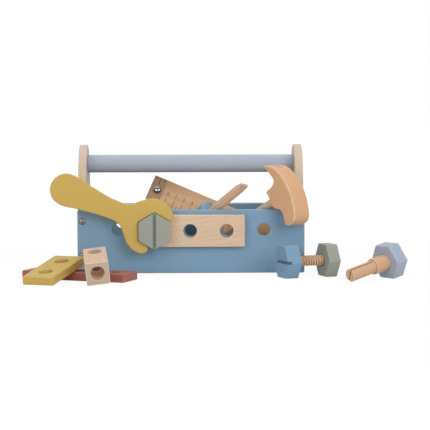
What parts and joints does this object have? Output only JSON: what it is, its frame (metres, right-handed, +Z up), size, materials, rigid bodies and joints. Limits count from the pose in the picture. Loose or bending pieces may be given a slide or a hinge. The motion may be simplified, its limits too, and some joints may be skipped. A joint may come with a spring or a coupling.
{
  "type": "toy tool box",
  "caption": "Wooden toy tool box with a dowel handle, drilled side panels, toy tools and loose building pieces on and around it.",
  "frame": {"origin": "centre of the underside of the box's floor board, on the ground plane", "axes": "+X along the box to its right end, +Y from the front panel to the back panel, +Z up"},
  "size_m": [0.4101, 0.2453, 0.14],
  "materials": {
    "blue_paint": "matt blue paint on wood",
    "periwinkle_paint": "matt periwinkle paint on wood",
    "mustard_paint": "matt mustard paint on wood",
    "grey_paint": "matt olive-grey paint on wood",
    "red_paint": "matt brick-red paint on wood",
    "beech": "fine sanded beech, clear matt",
    "pale_wood": "fine sanded pale wood, clear matt",
    "chrome": "polished rivet",
    "dark_steel": "dark steel screws"
  },
  "bodies": {
    "box": {"floor_board": "pale_wood", "front_panel": "blue_paint", "back_panel": "blue_paint", "left_end_panel": "pale_wood", "right_end_panel": "pale_wood", "carry_handle": "periwinkle_paint", "back_left_lower_screw": "dark_steel", "back_left_upper_screw": "dark_steel", "back_right_lower_screw": "dark_steel", "back_right_upper_screw": "dark_steel", "front_left_lower_screw": "dark_steel", "front_left_upper_screw": "dark_steel", "front_right_lower_screw": "dark_steel", "front_right_upper_screw": "dark_steel", "left_handle_screw": "dark_steel", "right_handle_screw": "dark_steel"},
    "panel_bolt": {"panel_bolt_head": "grey_paint", "panel_bolt_shank": "beech"},
    "panel_nut_body": {"panel_nut": "grey_paint"},
    "wrench_body": {"wrench": "mustard_paint"},
    "bolted_strip_body": {"bolted_strip": "pale_wood"},
    "ruler_front": {"ruler_front_leg": "beech", "ruler_rivet": "chrome"},
    "ruler_rear": {"ruler_rear_leg": "beech"},
    "screwdriver": {"screwdriver_handle": "blue_paint", "screwdriver_shaft": "beech"},
    "hammer": {"hammer_head": "beech", "hammer_handle": "beech"},
    "red_strip_body": {"red_strip": "red_paint"},
    "yellow_strip_body": {"yellow_strip": "mustard_paint"},
    "drilled_block_body": {"drilled_block": "pale_wood"},
    "loose_bolt": {"loose_bolt_head": "blue_paint", "loose_bolt_shank": "beech"},
    "loose_nut_body": {"loose_nut": "grey_paint"},
    "peg": {"peg_head": "periwinkle_paint", "split_peg": "beech"}
  },
  "joints": [
    {"name": "bolt_turn", "type": "hinge", "parent": "box", "child": "panel_bolt", "pos_m": [-0.04, -0.0696, 0.048], "axis": [0, -1, 0], "range_deg": [-90, 30]},
    {"name": "nut_run", "type": "slide", "parent": "panel_bolt", "child": "panel_nut_body", "axis": [0, 1, 0], "range_m": [0, 0.006]},
    {"name": "wrench_pull", "type": "slide", "parent": "panel_bolt", "child": "wrench_body", "axis": [0, -1, 0], "range_m": [0, 0.04]},
    {"name": "strip_swing", "type": "hinge", "parent": "box", "child": "bolted_strip_body", "pos_m": [-0.04, -0.0648, 0.048], "axis": [0, -1, 0], "range_deg": [-15, 8]},
    {"name": "ruler_pull", "type": "slide", "parent": "box", "child": "ruler_front", "axis": [-0.9103, 0.1638, 0.3803], "range_m": [0, 0.12]},
    {"name": "ruler_fold", "type": "hinge", "parent": "ruler_front", "child": "ruler_rear", "pos_m": [-0.03803, 0.05485, 0.08428], "axis": [-0.0742, -0.9681, 0.2394], "range_deg": [0, 180]},
    {"name": "screwdriver_lift", "type": "slide", "parent": "box", "child": "screwdriver", "axis": [0, 0, 1], "range_m": [0, 0.045]},
    {"name": "hammer_pull", "type": "slide", "parent": "box", "child": "hammer", "axis": [0.5795, -0.6596, 0.4787], "range_m": [0, 0.12]},
    {"name": "red_strip_slide", "type": "slide", "parent": "box", "child": "red_strip_body", "axis": [-0.9198, 0.3923, 0], "range_m": [0, 0.06]},
    {"name": "yellow_strip_lift", "type": "slide", "parent": "box", "child": "yellow_strip_body", "axis": [0, 0, 1], "range_m": [0, 0.08]},
    {"name": "drilled_block_lift", "type": "slide", "parent": "box", "child": "drilled_block_body", "axis": [0, 0, 1], "range_m": [0, 0.08]},
    {"name": "loose_bolt_turn", "type": "hinge", "parent": "box", "child": "loose_bolt", "pos_m": [0.0968, -0.1116, 0.0175], "axis": [0.9426, 0.3338, 0], "range_deg": [0, 1440]},
    {"name": "loose_nut_run", "type": "slide", "parent": "box", "child": "loose_nut_body", "axis": [-0.9426, -0.3338, 0], "range_m": [0, 0.012]},
    {"name": "peg_lift", "type": "slide", "parent": "box", "child": "peg", "axis": [0, 0, 1], "range_m": [0, 0.06]}
  ],
  "couplings": [
    {"joint": "loose_bolt_turn", "follows": "loose_nut_run", "rad_per_m": 2094.4}
  ]
}
